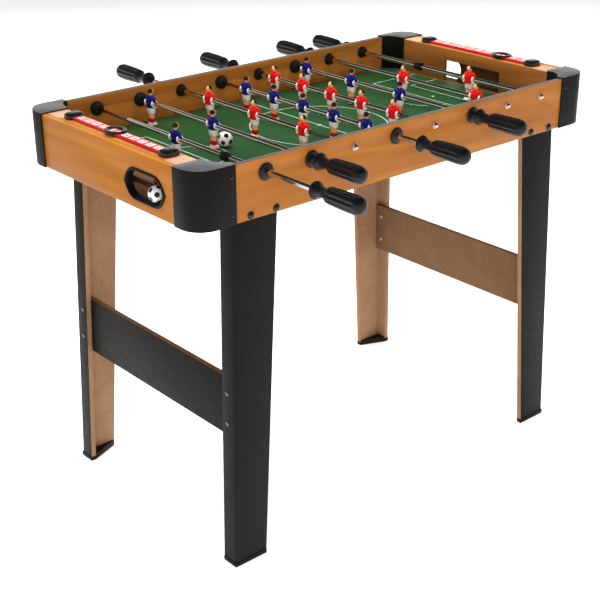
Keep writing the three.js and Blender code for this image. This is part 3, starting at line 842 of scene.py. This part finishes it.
for end, sign in ENDS.items():
    low, high = box_mm(f"ball_port_{end}")
    face_x = low.x if sign < 0 else high.x
    depth = high.x - low.x
    middle_y, middle_z = (low.y + high.y) / 2, (low.z + high.z) / 2
    # (outline growth, share of the ear, distance in from the face)
    section = [
        (0.0, 0.0, depth), (0.0, 0.0, 2.0), (0.4, 0.1, 0.9), (1.2, 0.3, 0.2), (2.2, 0.6, 0.0),
        (3.3, 0.85, 0.35), (3.9, 1.0, 0.9), (4.2, 1.0, 1.7), (4.2, 1.0, 2.2), (2.0, 0.0, 2.2),
        (2.0, 0.0, depth),
    ]
    rings = []
    for grow, ear_share, inward in section:
        outline = stadium(PORT_HALF + grow, PORT_RADIUS + grow, PORT_EAR * ear_share)
        x = face_x - sign * inward
        rings.append([(x, middle_y + along, middle_z + up) for along, up in outline])
    rings.append(rings[0])
    bezel = Shape()
    bezel.rings(rings, caps=False)
    fine(f"ball_port_{end}", bezel.mesh(f"ball_port_{end}_fine", [BLACK], 50))


# ---- score counters

TILE_COUNT = 11
TILE_LENGTH = 14.0
TILE_PITCH = 19.4
TILE_HALF = 5.8
BAR_HALF = 8.5
BAR_HEIGHT = 4.1
SKIRT = (8.8, 10.6)
BLOCK_HALF_X = 14.0
BLOCK_HALF_Y = 12.0
TILE_LOW = 3.9
TILE_TOP = 4.4
DIGIT_Z = 4.42
DIGIT_HEIGHT = 8.6
DIGIT_HALF_THICK = 0.06
DIGIT_WEIGHT = 0.16
# Share of the font size that a digit is tall.
CAPITAL_SHARE = 0.7
BAR_INSET = 3
BLOCK_POWER = 2.7
# End blocks, as (height, share of the outline).
BLOCK_LINE = [
    (0.0, 0.97), (0.6, 1.0), (3.6, 1.0), (5.4, 0.965), (6.8, 0.9), (7.7, 0.8), (8.2, 0.66),
    (8.45, 0.45), (8.5, 0.2), (8.5, 0.02),
]
# Pointer ring, as (distance in from the outline, height).
POINTER_LINE = [
    (6.0, -2.4), (6.0, -0.9), (5.4, -0.25), (4.3, 0.0), (1.8, 0.0), (0.6, -0.35), (0.0, -1.1),
    (0.0, -2.0), (0.5, -2.4),
]
SKIRT_TOP = -1.6


def digits(text, height):
    """The outline of a number as faces in its own plane, in millimetres."""
    curve = bpy.data.curves.new("digits", "FONT")
    curve.body = text
    curve.size = height / CAPITAL_SHARE
    curve.align_x = "CENTER"
    curve.align_y = "CENTER"
    curve.resolution_u = 3
    curve.extrude = DIGIT_HALF_THICK
    curve.offset = DIGIT_WEIGHT
    holder = new_object("digits", curve)
    made = bpy.data.meshes.new_from_object(holder)
    verts = [tuple(v.co) for v in made.vertices]
    faces = [tuple(p.vertices) for p in made.polygons]
    bpy.data.objects.remove(holder)
    bpy.data.curves.remove(curve)
    bpy.data.meshes.remove(made)
    return verts, faces


def slab(shape, low, high):
    xs, ys, zs = zip(low, high)
    verts = [(x, y, z) for x in xs for y in ys for z in zs]
    faces = [(0, 1, 3, 2), (4, 6, 7, 5), (0, 4, 5, 1), (2, 3, 7, 6), (0, 2, 6, 4), (1, 5, 7, 3)]
    shape.add(verts, faces)


for end, sign in ENDS.items():
    low, high = box_mm(f"score_rail_{end}")
    place = at((low.x + high.x) / 2, (low.y + high.y) / 2, low.z)
    half = (high.y - low.y) / 2
    bar = Shape()
    reach = half - BAR_INSET
    slab(bar, (-BAR_HALF, -reach, 0), (BAR_HALF, reach, BAR_HEIGHT))
    bar_mesh = bar.mesh(f"score_bar_{end}", [SCORE_RED], bevel=0.7, segments=3)
    put(f"score_bar_{end}", bar_mesh, TABLE, place, (f"score_rail_{end}",), "score_bar")
    blocks = Shape()
    for side in (-1, 1):
        rings = []
        for z, share in BLOCK_LINE:
            size = (BLOCK_HALF_Y * share, BLOCK_HALF_X * share)
            outline = superellipse(*size, BLOCK_POWER, 48)
            rings.append([(x, y + side * (half - BLOCK_HALF_Y), z) for x, y in outline])
        blocks.rings(rings)
    blocks_mesh = blocks.mesh(f"score_blocks_{end}", [BLACK_GLOSS], 40)
    put(f"score_blocks_{end}", blocks_mesh, TABLE, place, slot="black_plastic")
    tiles = Shape()
    for index in range(TILE_COUNT):
        y = (index - (TILE_COUNT - 1) / 2) * TILE_PITCH
        tile_low = (-TILE_HALF, y - TILE_LENGTH / 2, TILE_LOW)
        slab(tiles, tile_low, (TILE_HALF, y + TILE_LENGTH / 2, TILE_TOP))
        number = index if sign < 0 else TILE_COUNT - 1 - index
        verts, faces = digits(str(number), DIGIT_HEIGHT)
        # Read from the end where the scoring player stands.
        tiles.add([(-v[1] * sign, v[0] * sign + y, DIGIT_Z + v[2]) for v in verts], faces, 1)
    tiles_mesh = tiles.mesh(f"score_tiles_{end}", [TILE, DIGIT])
    put(f"score_tiles_{end}", tiles_mesh, TABLE, place, slot="score_bar")

    pointer = f"score_pointer_{end}"
    low, high = box_mm(pointer)
    half_x, half_y = (high.x - low.x) / 2, (high.y - low.y) / 2
    rings = []
    for inset, z in POINTER_LINE:
        outline = circle(1.0, 64)
        rings.append([((half_x - inset) * c, (half_y - inset) * s, z) for c, s in outline])
    rings.append(rings[0])
    ring = Shape()
    ring.rings(rings, caps=False)
    for side in (-1, 1):
        inner, outer = sorted(side * reach for reach in SKIRT)
        slab(ring, (inner, -half_y / 2, low.z - high.z), (outer, half_y / 2, SKIRT_TOP))
    place = at((low.x + high.x) / 2, (low.y + high.y) / 2, high.z)
    fine(pointer, ring.mesh(pointer + "_fine", [BLACK_GLOSS], 40), place)


# ---- table figures


def limb(shape, path, radii, slot, count=14):
    """A round limb along a path of points."""
    rings = []
    for i, point in enumerate(path):
        here = Vector(point)
        before = Vector(path[max(i - 1, 0)])
        after = Vector(path[min(i + 1, len(path) - 1)])
        heading = (after - before).normalized()
        side = heading.cross(Vector((1, 0, 0))).normalized()
        up = heading.cross(side)
        rings.append([
            tuple(here + (side * math.cos(a) + up * math.sin(a)) * radii[i])
            for a in (2 * math.pi * k / count for k in range(count))
        ])
    shape.rings(rings, slot)


def ball_part(shape, centre, radii, slot, count=20, rows=12, lean=0.0):
    """An ellipsoid, with its top pushed towards +X by the lean."""
    rings = []
    for row in range(rows + 1):
        tilt = math.pi * row / rows
        z = math.cos(tilt)
        rings.append([
            (
                centre[0] + radii[0] * (x + lean * z),
                centre[1] + radii[1] * y,
                centre[2] + radii[2] * z,
            )
            for x, y in circle(max(math.sin(tilt), 0.02), count)
        ])
    shape.rings(rings, slot)


# Parts of a figure as stack() takes them, from the rod's axis.
TORSO = [
    (-7.0, 7.6, 5.6, 2.6, 0.2, 0.0),
    (-7.3, 8.3, 6.2, 2.6, 0.2, 0.0),
    (-5.8, 8.4, 6.4, 2.6, 0.2, 0.0),
    (-2.0, 8.0, 6.3, 2.5, 0.2, 0.0),
    (2.5, 8.6, 6.4, 2.5, 0.3, 0.0),
    (6.0, 9.6, 6.2, 2.4, 0.3, 0.0),
    (8.6, 9.9, 5.6, 2.3, 0.1, 0.0),
    (10.4, 8.6, 4.8, 2.2, 0.0, 0.0),
    (11.6, 6.2, 4.0, 2.1, 0.0, 0.0),
    (12.5, 3.6, 3.2, 2.0, 0.0, 0.0),
]
NECK = [(11.6, 2.6, 2.7, 2, 0.2, 0), (14.6, 2.4, 2.5, 2, 0.4, 0)]
SHORTS = [
    (-6.4, 7.4, 5.4, 2.6, 0.0, 0.0),
    (-9.0, 7.7, 5.6, 2.6, 0.0, 0.05),
    (-13.0, 7.4, 5.4, 2.6, 0.0, 0.16),
    (-16.2, 7.1, 5.1, 2.6, 0.0, 0.24),
    (-16.6, 6.5, 4.5, 2.5, 0.0, 0.24),
]
KNEES = [
    (-15.4, 6.0, 4.0, 2.6, 0.0, 0.3),
    (-18.0, 5.9, 4.1, 2.6, 0.1, 0.3),
    (-21.5, 5.4, 3.7, 2.6, 0.2, 0.3),
    (-25.6, 5.3, 3.7, 2.6, 0.0, 0.3),
]
SOCKS = [
    (-24.6, 5.6, 3.9, 2.6, 0.0, 0.28),
    (-25.1, 5.9, 4.2, 2.6, 0.0, 0.28),
    (-26.4, 5.9, 4.2, 2.6, -0.1, 0.28),
    (-29.0, 5.7, 4.1, 2.6, 0.0, 0.26),
    (-32.6, 5.4, 3.9, 2.6, 0.3, 0.22),
]
BOOTS = [
    (-31.6, 5.7, 4.2, 2.6, 0.5, 0.2),
    (-32.6, 6.3, 5.2, 2.8, 1.0, 0.14),
    (-34.0, 6.7, 6.1, 3.0, 1.5, 0.1),
    (-35.6, 6.9, 6.5, 3.2, 1.7, 0.06),
    (-36.3, 6.8, 6.4, 3.2, 1.7, 0.04),
    (-36.5, 6.3, 5.9, 3.0, 1.7, 0.02),
]
# Arms as (x, y on the left side, z, radius).
SLEEVE = [
    (-0.2, 7.2, 9.2, 2.6), (-0.6, 9.0, 7.6, 3.0), (-0.6, 10.2, 4.6, 3.1), (0.0, 10.6, 1.0, 3.2),
    (0.6, 10.5, -1.4, 3.3),
]
CUFF = [
    (0.7, 10.5, -1.8, 3.2), (0.9, 10.5, -2.8, 3.4), (1.6, 10.2, -4.2, 3.3), (2.6, 9.4, -5.6, 2.9),
    (3.4, 8.4, -6.4, 1.6),
]


def figure_mesh(name, jersey):
    """One footballer facing +X whose rod runs along Y through the origin."""
    shape = Shape()
    jersey_slot, skin, hair, white, sock, boot, steel = range(7)
    stack(shape, TORSO, jersey_slot)
    stack(shape, NECK, skin, 20)
    ball_part(shape, (0.9, 0, 17.3), (4.6, 4.2, 5.1), skin, lean=0.05)
    ball_part(shape, (5.1, 0, 16.9), (1.0, 0.7, 1.3), skin, 10, 8)
    ball_part(shape, (0.1, 0, 18.5), (4.7, 4.5, 4.4), hair, 24, 14, lean=-0.1)
    for side in (-1, 1):
        ball_part(shape, (0.9, side * 4.0, 16.8), (1.0, 0.6, 1.4), skin, 8, 6)
        for line, slot in ((SLEEVE, jersey_slot), (CUFF, white)):
            path = [(x, side * y, z) for x, y, z, _ in line]
            limb(shape, path, [row[3] for row in line], slot)
    # White collar round each rod hole.
    for side in (-1, 1):
        collar = [(4.15, side * 8.4), (5.9, side * 8.4), (5.9, side * 11.1), (4.15, side * 11.1)]
        shape.lathe(soften(collar, 0.6), 28, white, closed=True)
    for part, slot in ((SHORTS, white), (KNEES, skin), (SOCKS, sock), (BOOTS, boot)):
        stack(shape, part, slot)
    # Screw that pins the figure to its tube, sunk in the small of the back.
    head = Shape()
    head.lathe([(0.05, -7.4), (1.5, -7.4), (1.9, -7.1), (1.9, -5.0), (0.05, -5.0)], 20)
    shape.merge(head, Matrix.Rotation(math.radians(-90), 4, "Z"), steel)
    return shape.mesh(name, [jersey, SKIN, HAIR, WHITE, SOCK, BOOT, SCREW], 50)


FIGURES = {-1: figure_mesh("figure_blue", BLUE), 1: figure_mesh("figure_red", RED)}


# ---- rods, grips and bushes

TUBE_RADIUS = 4.0
TUBE_BORE = 3.2
INNER_RADIUS = 2.4
FLUTES = 10
FLUTE_DEPTH = 1.9
# The flutes of a grip run between these places and fade in and out.
GRIP_START = 30.0
GRIP_STOP = 85.0
GRIP_FADE = 6
STOP_PLACE = 120.0
# How far the cap nut stands out past the inner face of its panel.
CAP_NUT_REACH = 15.0
INNER_END = 10.0
# Profiles are (radius, along). A grip's starts at the end of its bore and stops where its
# straight body begins.
GRIP_LINE = [
    (0.05, 60.5), (4.2, 60.5), (4.2, 0.7), (6.8, 0.2), (8.8, 0.0), (10.8, 0.7), (12.1, 2.0),
    (12.6, 3.4), (12.3, 4.8), (10.9, 6.8), (9.3, 9.0), (8.2, 11.8), (7.7, 15.0), (7.5, 18.4),
    (7.6, 21.6), (8.2, 24.4), (9.4, 26.2), (10.6, 28.0), (11.4, 29.8), (11.8, 32.0),
]
GRIP_TIP = [
    (13.0, 76.0), (12.95, 79.6), (12.5, 83.2), (11.5, 86.4), (9.8, 89.2), (7.4, 91.3),
    (4.4, 92.5), (1.6, 92.95), (0.05, 93.0),
]
# Flanged bush: 0 is the board's inner face and the positive side is outward.
BUSH_LINE = [
    (4.25, 14.0), (6.4, 14.2), (7.4, 13.0), (10.4, 12.7), (12.5, 11.2), (12.5, 9.3), (8.0, 9.3),
    (8.0, -0.3), (10.5, -0.3), (10.5, -2.2), (8.2, -3.6), (7.2, -6.0), (7.0, -9.8), (4.25, -9.9),
]
# Rubber cushion on the fixed rod: 0 is the board's inner face.
BUMPER_LINE = [(2.4, -11.0), (7.4, -11.0), (8.6, -6.4), (11.4, -5.4), (11.5, -0.3), (2.4, -0.3)]
# Stepped stop sleeve on the keeper's tube, its wide end towards the figure.
STOP_LINE = [(4.05, -8.0), (7.0, -8.0), (7.0, 0.4), (6.0, 0.8), (6.0, 8.0), (4.05, 8.0)]


def flute(angle, along):
    """What the lengthwise grooves of a grip add to its radius at one place."""
    enter = min(1.0, max(0.0, (along - GRIP_START) / GRIP_FADE))
    leave = min(1.0, max(0.0, (GRIP_STOP - along) / GRIP_FADE))
    share = (math.cos(angle * FLUTES) + 1) / 2
    return -FLUTE_DEPTH * share ** 2 * min(enter, leave)


def grip_mesh():
    line = list(GRIP_LINE)
    (start_radius, start), (end_radius, end) = GRIP_LINE[-1], GRIP_TIP[0]
    steps = 16
    for i in range(1, steps):
        share = i / steps
        swell = (end_radius - start_radius) * math.sin(share * math.pi / 2)
        line.append((start_radius + swell, start + (end - start) * share))
    line.extend(GRIP_TIP)
    shape = Shape()
    shape.lathe(line, FLUTES * 8, wobble=flute)
    return shape.mesh("grip", [GRIP], 60)


def turned(name, profile, segments, material, smooth, closed=True):
    shape = Shape()
    shape.lathe(profile, segments, closed=closed)
    return shape.mesh(name, [material], smooth)


def nut_mesh():
    profile = [(0.05, 9.3), (5.3, 9.3), (5.3, 10.0), (4.6, 10.3)]
    for step in range(9):
        angle = math.pi / 2 * step / 9
        profile.append((4.3 * math.cos(angle), 10.5 + 4.4 * math.sin(angle)))
    profile.append((0.05, 14.9))
    return turned("cap_nut", profile, 36, NUT, 40, closed=False)


def tube_mesh(name, tail, head):
    middle = (TUBE_BORE, (tail + head) / 2)
    line = [
        middle, (TUBE_BORE, tail), (TUBE_RADIUS, tail), (TUBE_RADIUS, head), (TUBE_BORE, head),
        middle,
    ]
    return turned(name, soften(line, 0.35, 2)[:-1], 40, CHROME, 40)


GRIP_MESH = grip_mesh()
BUSH_MESH = turned("bush", soften(BUSH_LINE, 0.9), 48, GRIP, 45)
BUMPER_MESH = turned("bumper", soften(BUMPER_LINE, 1.4, 4), 48, RUBBER, 45)
NUT_MESH = nut_mesh()
STOP_MESH = turned("stop_sleeve", soften(STOP_LINE, 0.9), 40, GRIP, 45)
PANELS = {-1: box_mm("side_panel_front")[1].y, 1: box_mm("side_panel_back")[0].y}

for number in range(1, ROD_COUNT + 1):
    players = PLAYERS[number - 1]
    spin = JOINTS[f"rod_{number}_spin"]
    slide = JOINTS[f"rod_{number}_slide"]
    x, _, z = (value / MM for value in spin["pos_m"])
    travel_low, travel_high = (value / MM for value in slide["range_m"])
    centre_y = MIDDLE_Y - (travel_low + travel_high) / 2
    grip_low, grip_high = box_mm(f"rod_{number}_handle")
    tube_low, tube_high = box_mm(f"rod_{number}_tube")
    inner_low, inner_high = box_mm(f"rod_{number}_inner")
    side = 1 if grip_low.y > MIDDLE_Y else -1
    ahead = Matrix.Rotation(0 if side > 0 else math.pi, 4, "Z")
    astern = Matrix.Rotation(math.pi if side > 0 else 0, 4, "Z")
    body = f"rod_{number}"
    core = f"rod_{number}_core"

    tube_tail = centre_y - tube_low.y if side > 0 else tube_high.y - centre_y
    tube_head = tube_high.y - centre_y if side > 0 else centre_y - tube_low.y
    tube = tube_mesh(f"rod_{number}_tube_fine", -tube_tail, tube_head)
    fine(f"rod_{number}_tube", tube, at(x, centre_y, z) @ ahead)
    grip_start = grip_low.y if side > 0 else grip_high.y
    fine(f"rod_{number}_handle", GRIP_MESH, at(x, grip_start, z) @ ahead)
    for index in range(players):
        y = centre_y + (index - (players - 1) / 2) * SPACING[players]
        figure = f"rod_{number}_figure_{index + 1}"
        put(figure, FIGURES[side], body, at(x, y, z) @ astern, slot="rod_and_players")
    if players == 1:
        place = at(x, centre_y + side * STOP_PLACE, z) @ ahead
        put(f"rod_{number}_stop", STOP_MESH, body, place, slot="bushing")
    fine(f"rod_{number}_bushing", BUSH_MESH, at(x, PANELS[side], z) @ ahead)

    wall = at(x, PANELS[-side], z) @ astern
    tail = CAP_NUT_REACH - (inner_high.y - inner_low.y)
    line = [(0.05, tail), (INNER_RADIUS, tail), (INNER_RADIUS, INNER_END), (0.05, INNER_END)]
    inner = turned(f"rod_{number}_inner_fine", soften(line, 0.5, 2), 28, STEEL, 40, closed=False)
    fine(f"rod_{number}_inner", inner, wall)
    put(f"rod_{number}_bumper", BUMPER_MESH, core, wall, slot="bushing")
    put(f"rod_{number}_cap_nut", NUT_MESH, core, wall, slot="steel_rod")


# ---- balls


BALL_RADIUS = 12.0
# Where the loose ball lies on the pitch: X, Y from the middle, and its gap over the board.
LOOSE_BALL = (-184.6, 8.0, 0.2)
# Angles from the middle of a spot, and the seam's depth as a share of the radius.
SPOT_REACH = 0.32
SEAM_REACH = 0.33
SEAM_WIDTH = 0.035
SEAM_DEPTH = 0.012


def ball_mesh(name, turn):
    """White ball with twelve dark pentagonal spots, rolled to one attitude."""
    bm = bmesh.new()
    bmesh.ops.create_icosphere(bm, subdivisions=1, radius=1.0)
    centres = [v.co.normalized() for v in bm.verts]
    bm.free()
    bm = bmesh.new()
    bmesh.ops.create_icosphere(bm, subdivisions=5, radius=1.0)
    for vert in bm.verts:
        near = min(vert.co.angle(c) for c in centres)
        seam = math.exp(-(((near - SEAM_REACH) / SEAM_WIDTH) ** 2))
        vert.co = vert.co.normalized() * (BALL_RADIUS * MM) * (1 - SEAM_DEPTH * seam)
    for face in bm.faces:
        centre = face.calc_center_median().normalized()
        near = min(centre.angle(c) for c in centres)
        face.material_index = 1 if near < SPOT_REACH else 0
    mesh = bpy.data.meshes.new(name)
    bm.to_mesh(mesh)
    bm.free()
    mesh.materials.append(BALL_WHITE)
    mesh.materials.append(BALL_BLACK)
    mesh.shade_smooth()
    mesh.transform(turn.to_matrix().to_4x4())
    return mesh


low, high = box_mm("ball")
fine("ball", ball_mesh("ball_fine", Euler((0.4, 0.0, 0.3))), at(*((low + high) / 2)))
x, y, gap = LOOSE_BALL
place = at(x, MIDDLE_Y + y, FIELD_Z + BALL_RADIUS + gap)
put("ball_on_pitch", ball_mesh("ball_on_pitch", Euler((0.5, 0.9, 0.0))), TABLE, place, slot="ball")


# ---- stage, light and camera


FLOOR_REACH = 10.0
# Camera, fitted to the photo: degrees, the millimetres it aims at, and metres away.
AZIMUTH, ELEVATION, ROLL = -40.736, 24.307, -0.279
AIM = (-40.4, MIDDLE_Y + 2.85, 273.4)
DISTANCE = 2.1036
LENS = 74.56


def backdrop():
    finish = Finish("studio_floor")
    cloud = finish.noise(0.8, 3, 0.5)
    finish.colour(finish.ramp(cloud, (0.3, (244, 244, 244)), (0.7, (250, 250, 250))))
    finish.roughness(finish.span(cloud, 0.55, 0.7))
    finish.shader.inputs["Emission Color"].default_value = (1.0, 1.0, 1.0, 1.0)
    finish.shader.inputs["Emission Strength"].default_value = 0.6
    mesh = bpy.data.meshes.new("studio_floor")
    r = FLOOR_REACH
    mesh.from_pydata([(-r, -r, 0), (r, -r, 0), (r, r, 0), (-r, r, 0)], [], [(0, 1, 2, 3)])
    mesh.materials.append(finish.material)
    new_object("studio_floor", mesh)


def soft_light(name, place, aim, size, power):
    light = bpy.data.lights.new(name, "AREA")
    light.shape = "RECTANGLE"
    light.size, light.size_y = size
    light.energy = power
    lamp = new_object(name, light)
    lamp.location = place
    lamp.rotation_euler = (Vector(aim) - Vector(place)).to_track_quat("-Z", "Y").to_euler()
    lamp.visible_glossy = False


def studio_sky(horizon, zenith):
    """Surroundings that are bright near the floor and darker overhead."""
    world = bpy.data.worlds.new("studio")
    world.use_nodes = True
    nodes, links = world.node_tree.nodes, world.node_tree.links
    direction = nodes.new("ShaderNodeTexCoord")
    split = nodes.new("ShaderNodeSeparateXYZ")
    level = nodes.new("ShaderNodeMapRange")
    level.interpolation_type = "SMOOTHSTEP"
    level.inputs["From Min"].default_value = 0.2
    level.inputs["From Max"].default_value = 0.46
    level.inputs["To Min"].default_value = horizon
    level.inputs["To Max"].default_value = zenith
    links.new(direction.outputs["Generated"], split.inputs["Vector"])
    links.new(split.outputs["Z"], level.inputs["Value"])
    links.new(level.outputs["Result"], nodes["Background"].inputs["Strength"])
    nodes["Background"].inputs["Color"].default_value = (1.0, 1.0, 1.0, 1.0)
    bpy.context.scene.world = world


backdrop()
studio_sky(1.05, 0.04)
soft_light("overhead", (0.1, 0.5, 2.6), (0, 0, 0.5), (2.0, 2.0), 96)
soft_light("key", (-2.4, -2.6, 2.3), (0, 0, 0.5), (1.6, 1.6), 58)
soft_light("fill", (2.0, 2.6, 1.9), (0, 0, 0.6), (2.4, 1.2), 66)

aim = Vector(AIM) * MM
azimuth, elevation, roll = (math.radians(value) for value in (AZIMUTH, ELEVATION, ROLL))
back = Vector((
    math.sin(azimuth) * math.cos(elevation),
    -math.cos(azimuth) * math.cos(elevation),
    math.sin(elevation),
))
right = (-back).cross(Vector((0, 0, 1))).normalized()
up = right.cross(-back)
right_rolled = right * math.cos(roll) + up * math.sin(roll)
up_rolled = up * math.cos(roll) - right * math.sin(roll)
camera_data = bpy.data.cameras.new("camera")
camera_data.lens = LENS
camera_data.sensor_width = 36.0
camera_data.clip_start = 0.05
camera_data.clip_end = 60.0
camera = new_object("camera", camera_data)
turn = Matrix((right_rolled, up_rolled, back)).transposed().to_4x4()
camera.matrix_world = Matrix.Translation(aim + back * DISTANCE) @ turn
bpy.context.scene.camera = camera
bpy.context.scene.view_settings.view_transform = "Standard"
